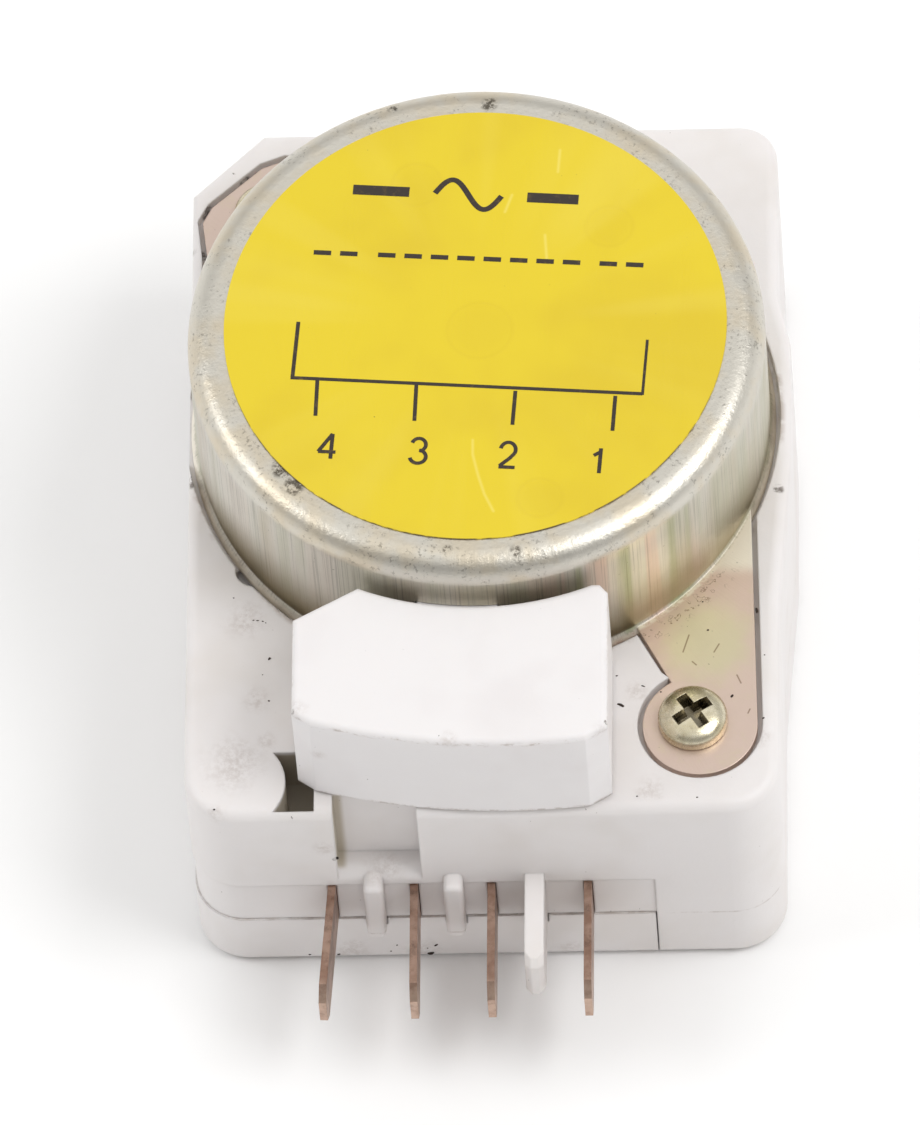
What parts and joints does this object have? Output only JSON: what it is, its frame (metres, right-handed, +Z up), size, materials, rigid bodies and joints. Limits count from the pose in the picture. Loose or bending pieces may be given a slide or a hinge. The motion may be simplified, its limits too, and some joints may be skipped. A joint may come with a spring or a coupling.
{
  "type": "defrost timer",
  "caption": "Refrigerator defrost timer: moulded housing with flat push-on tabs and a key fin at the front, a round canned synchronous gear motor on its deck and a cam switch inside.",
  "frame": {"origin": "centre of the housing's underside, on the face that lies against the mounting panel", "axes": "+X to the right, +Y from the tabs to the back, +Z up along the motor's axis; the tabs point along -Y"},
  "size_m": [0.047, 0.0725, 0.0362],
  "materials": {
    "white_case": "moulded, slightly glossy, soiled along the edges",
    "can_steel": "drawn steel, pale yellow passivation",
    "label_foil": "printed yellow film",
    "screw_steel": "pale yellow passivated",
    "tab_brass": "darkened by air",
    "spring_bronze": "rolled strip",
    "contact_silver": "plain silver",
    "gear_nylon": "moulded",
    "cam_acetal": "moulded",
    "plain_steel": "stamped",
    "pin_steel": "ground",
    "bobbin_nylon": "moulded",
    "copper_wire": "enamelled copper, wound",
    "rotor_ferrite": "pressed ferrite",
    "lead_insulation": "smooth",
    "washer_steel": "rolled spring steel"
  },
  "bodies": {
    "housing": {"upper_case": "white_case", "base_cover": "white_case", "motor_can": "can_steel", "label_disc": "label_foil", "lead_cover": "white_case", "motor_screws": "screw_steel", "terminal_1": "tab_brass", "terminal_2": "tab_brass", "terminal_3": "tab_brass", "terminal_4": "tab_brass", "motor_base_plate": "plain_steel", "coil_bobbin": "bobbin_nylon", "coil_winding": "copper_wire", "upper_pole_plate": "plain_steel", "lower_pole_plate": "plain_steel", "rotor_pin": "pin_steel", "gear_pins": "pin_steel", "lead_wire_1": "lead_insulation", "lead_wire_3": "lead_insulation"},
    "rotor": {"rotor_magnet": "rotor_ferrite", "rotor_hub": "gear_nylon"},
    "first_gear": {"first_gear": "gear_nylon"},
    "second_gear": {"second_gear": "gear_nylon"},
    "output_gear": {"output_gear": "gear_nylon"},
    "idler_gear": {"idler_gear": "gear_nylon"},
    "cam_gear": {"cam_gear": "gear_nylon"},
    "cam_drum": {"cam_drum": "cam_acetal", "clutch_washer": "washer_steel"},
    "contact_2": {"contact_blade_2": "spring_bronze", "blade_contact_2": "contact_silver"},
    "contact_3": {"contact_blade_3": "spring_bronze", "blade_contact_3": "contact_silver"},
    "contact_4": {"contact_blade_4": "spring_bronze", "blade_contact_4": "contact_silver"}
  },
  "joints": [
    {"name": "rotor_spin", "type": "hinge", "parent": "housing", "child": "rotor", "pos_m": [0, 0.00425, 0.03], "axis": [0, 0, 1], "continuous": true},
    {"name": "first_gear_spin", "type": "hinge", "parent": "housing", "child": "first_gear", "pos_m": [0.00308, 0.01271, 0.025], "axis": [0, 0, 1], "continuous": true},
    {"name": "second_gear_spin", "type": "hinge", "parent": "housing", "child": "second_gear", "pos_m": [-0.00501, 0.01665, 0.024], "axis": [0, 0, 1], "continuous": true},
    {"name": "output_spin", "type": "hinge", "parent": "housing", "child": "output_gear", "pos_m": [-0.01126, 0.01081, 0.02], "axis": [0, 0, 1], "continuous": true},
    {"name": "idler_spin", "type": "hinge", "parent": "housing", "child": "idler_gear", "pos_m": [-0.00038, 0.01588, 0.015], "axis": [0, 0, 1], "continuous": true},
    {"name": "cam_gear_spin", "type": "hinge", "parent": "housing", "child": "cam_gear", "pos_m": [0.0098, 0.0057, 0.0146], "axis": [0, 0, 1], "continuous": true},
    {"name": "cam_drum_turn", "type": "hinge", "parent": "cam_gear", "child": "cam_drum", "pos_m": [0.0098, 0.0057, 0.008], "axis": [0, 0, 1], "continuous": true},
    {"name": "blade_2_flex", "type": "hinge", "parent": "housing", "child": "contact_2", "pos_m": [0.00083, -0.027, 0.00875], "axis": [0, 0, -1], "range_deg": [0, 2.2], "stiffness_Nm_per_rad": 0.02},
    {"name": "blade_3_flex", "type": "hinge", "parent": "housing", "child": "contact_3", "pos_m": [-0.00517, -0.027, 0.00875], "axis": [0, 0, -1], "range_deg": [0, 2.2], "stiffness_Nm_per_rad": 0.02},
    {"name": "blade_4_flex", "type": "hinge", "parent": "housing", "child": "contact_4", "pos_m": [-0.01257, -0.027, 0.00875], "axis": [0, 0, 1], "range_deg": [0, 1.2], "stiffness_Nm_per_rad": 0.02}
  ],
  "couplings": [
    {"joint": "first_gear_spin", "follows": "rotor_spin", "ratio": -0.25},
    {"joint": "second_gear_spin", "follows": "rotor_spin", "ratio": 0.0625},
    {"joint": "output_spin", "follows": "rotor_spin", "ratio": -0.016667},
    {"joint": "idler_spin", "follows": "rotor_spin", "ratio": 0.0029412},
    {"joint": "cam_gear_spin", "follows": "rotor_spin", "ratio": -0.00058823}
  ]
}
